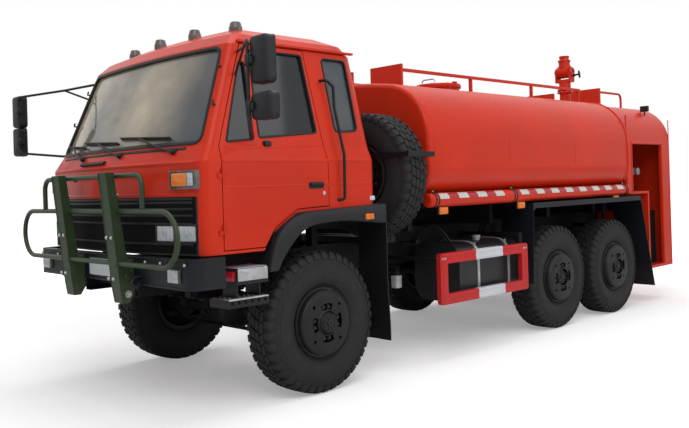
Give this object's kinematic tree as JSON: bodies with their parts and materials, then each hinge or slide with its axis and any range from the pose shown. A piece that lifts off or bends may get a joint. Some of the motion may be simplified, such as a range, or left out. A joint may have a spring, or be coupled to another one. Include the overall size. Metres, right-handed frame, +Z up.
{
  "type": "off-road fire truck",
  "caption": "Six-wheel-drive off-road fire tanker with a hollow cab, rounded water tank, rear pump cabin, roof monitor, side guards and a front bull bar.",
  "frame": {"origin": "on the ground, at the middle of the whole vehicle's box", "axes": "+X to the vehicle's left, +Y to its rear, +Z up"},
  "size_m": [3.9825, 7.875, 3.31],
  "materials": {
    "red_paint": "gloss orange-red paint",
    "black_paint": "satin black paint",
    "chassis_black": "chassis black",
    "green_paint": "army green paint",
    "cast": "cast and painted",
    "spring_steel": "black spring steel",
    "tyre": "rubber tyre",
    "rim": "dark wheel paint",
    "glass": "cab glass",
    "lens": "lamp lenses",
    "black_plastic": "black grained plastic",
    "seat_fabric": "seat cloth",
    "dash_plastic": "grey dashboard plastic",
    "guard_paint": "bright red paint with white bands",
    "grey_metal": "grey fuel tank paint"
  },
  "bodies": {
    "chassis": {"axles": "cast", "leaf_springs": "spring_steel", "frame_rails": "chassis_black", "engine_block": "cast", "driveline": "cast", "bumper": "black_paint", "bull_bar": "green_paint", "cab_shell": "red_paint", "grille_panel": "black_plastic", "cab_glass": "glass", "dashboard": "dash_plastic", "seats": "seat_fabric", "front_fenders": "black_plastic", "cab_steps": "black_paint", "tank": "red_paint", "top_rails": "red_paint", "side_pipes": "red_paint", "pump_cabin": "red_paint", "pump_unit": "cast", "rear_fenders": "black_paint", "side_guards": "guard_paint", "fuel_tank": "grey_metal", "battery_box": "black_paint", "spare_tyre": "tyre", "spare_rim": "rim", "spare_carrier": "black_paint", "lamps": "lens", "monitor_base": "red_paint", "ladder": "red_paint", "cab_rails": "black_paint"},
    "wheel_front_left": {"tyre_front_left": "tyre", "rim_front_left": "rim"},
    "wheel_front_right": {"tyre_front_right": "tyre", "rim_front_right": "rim"},
    "wheel_middle_left": {"tyre_middle_left": "tyre", "rim_middle_left": "rim"},
    "wheel_middle_right": {"tyre_middle_right": "tyre", "rim_middle_right": "rim"},
    "wheel_rear_left": {"tyre_rear_left": "tyre", "rim_rear_left": "rim"},
    "wheel_rear_right": {"tyre_rear_right": "tyre", "rim_rear_right": "rim"},
    "knuckle_left": {"knuckle_left": "cast"},
    "knuckle_right": {"knuckle_right": "cast"},
    "tie_rod": {"tie_rod": "spring_steel"},
    "door_left": {"door_left": "red_paint", "door_glass_left": "glass", "mirror_left": "black_plastic"},
    "door_right": {"door_right": "red_paint", "door_glass_right": "glass", "mirror_right": "black_plastic"},
    "manhole_lid": {"manhole_lid": "red_paint"},
    "monitor_turret": {"monitor_turret": "red_paint"},
    "monitor_barrel": {"monitor_barrel": "red_paint"}
  },
  "joints": [
    {"name": "steer_left", "type": "hinge", "parent": "chassis", "child": "knuckle_left", "pos_m": [0.812, -2.4875, 0.56], "axis": [0, 0, 1], "range_deg": [-30, 30]},
    {"name": "steer_right", "type": "hinge", "parent": "chassis", "child": "knuckle_right", "pos_m": [-0.812, -2.4875, 0.56], "axis": [0, 0, 1], "range_deg": [-30, 30]},
    {"name": "roll_front_left", "type": "hinge", "parent": "knuckle_left", "child": "wheel_front_left", "pos_m": [1.005, -2.4875, 0.56], "axis": [1, 0, 0], "continuous": true},
    {"name": "roll_front_right", "type": "hinge", "parent": "knuckle_right", "child": "wheel_front_right", "pos_m": [-1.005, -2.4875, 0.56], "axis": [1, 0, 0], "continuous": true},
    {"name": "roll_middle_left", "type": "hinge", "parent": "chassis", "child": "wheel_middle_left", "pos_m": [1.005, 0.9875, 0.56], "axis": [1, 0, 0], "continuous": true},
    {"name": "roll_middle_right", "type": "hinge", "parent": "chassis", "child": "wheel_middle_right", "pos_m": [-1.005, 0.9875, 0.56], "axis": [1, 0, 0], "continuous": true},
    {"name": "roll_rear_left", "type": "hinge", "parent": "chassis", "child": "wheel_rear_left", "pos_m": [1.005, 2.2375, 0.56], "axis": [1, 0, 0], "continuous": true},
    {"name": "roll_rear_right", "type": "hinge", "parent": "chassis", "child": "wheel_rear_right", "pos_m": [-1.005, 2.2375, 0.56], "axis": [1, 0, 0], "continuous": true},
    {"name": "tie_rod_pivot", "type": "hinge", "parent": "knuckle_left", "child": "tie_rod", "pos_m": [0.812, -2.2975, 0.345], "axis": [0, 0, 1], "range_deg": [-30, 30]},
    {"name": "door_left_hinge", "type": "hinge", "parent": "chassis", "child": "door_left", "pos_m": [1.204, -3.4425, 1.5], "axis": [0, 0, -1], "range_deg": [0, 70]},
    {"name": "door_right_hinge", "type": "hinge", "parent": "chassis", "child": "door_right", "pos_m": [-1.204, -3.4425, 1.5], "axis": [0, 0, 1], "range_deg": [0, 70]},
    {"name": "manhole_hinge", "type": "hinge", "parent": "chassis", "child": "manhole_lid", "pos_m": [0, 0.6875, 2.7], "axis": [-1, 0, 0], "range_deg": [0, 110]},
    {"name": "monitor_turn", "type": "hinge", "parent": "chassis", "child": "monitor_turret", "pos_m": [0, 3.1825, 2.83], "axis": [0, 0, 1], "range_deg": [-180, 180]},
    {"name": "monitor_lift", "type": "hinge", "parent": "monitor_turret", "child": "monitor_barrel", "pos_m": [0, 3.1825, 3.095], "axis": [1, 0, 0], "range_deg": [-45, 100]}
  ],
  "couplings": [
    {"joint": "steer_right", "follows": "steer_left", "ratio": 1},
    {"joint": "tie_rod_pivot", "follows": "steer_left", "ratio": -1}
  ]
}
